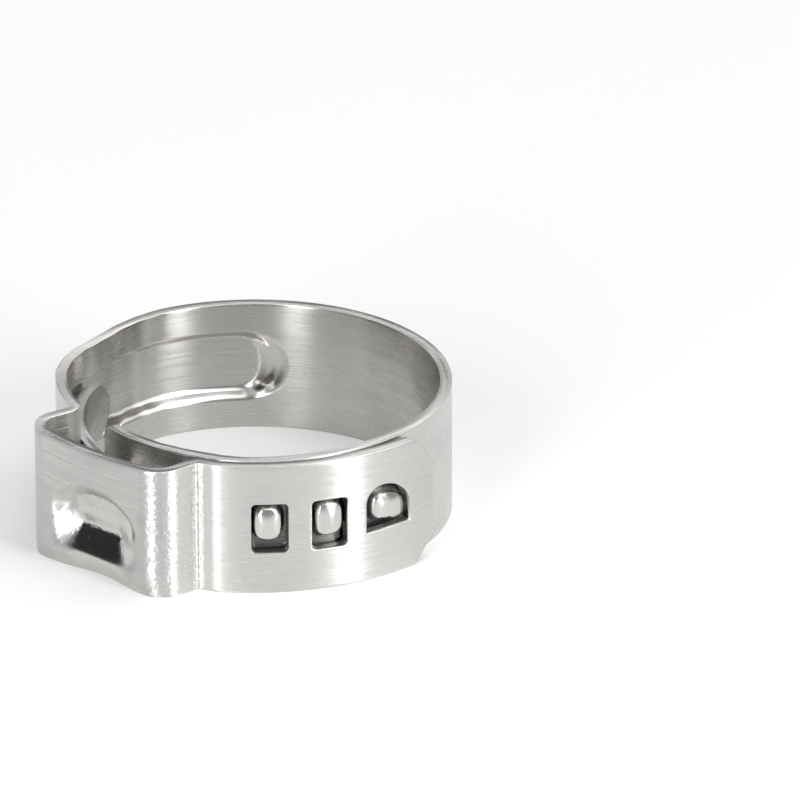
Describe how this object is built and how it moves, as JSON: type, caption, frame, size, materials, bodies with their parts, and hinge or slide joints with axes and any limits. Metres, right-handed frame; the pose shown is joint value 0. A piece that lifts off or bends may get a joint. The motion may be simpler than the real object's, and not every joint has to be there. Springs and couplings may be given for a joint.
{
  "type": "ear hose clamp",
  "caption": "Open ring clamp folded from one flat stainless strip, with a pinch ear, a guided tongue, and raised hooks locked into windows.",
  "frame": {"origin": "centre of the bore, level with the lower edge of the strip", "axes": "+Z along the bore axis, up from the edge it stands on; the pinch ear points along -Y"},
  "size_m": [0.022, 0.0225, 0.007],
  "materials": {
    "stainless_strip": "satin rolled stainless steel with fine marks along the strip"
  },
  "bodies": {
    "root": {"clamp_band": "stainless_strip"}
  },
  "joints": []
}
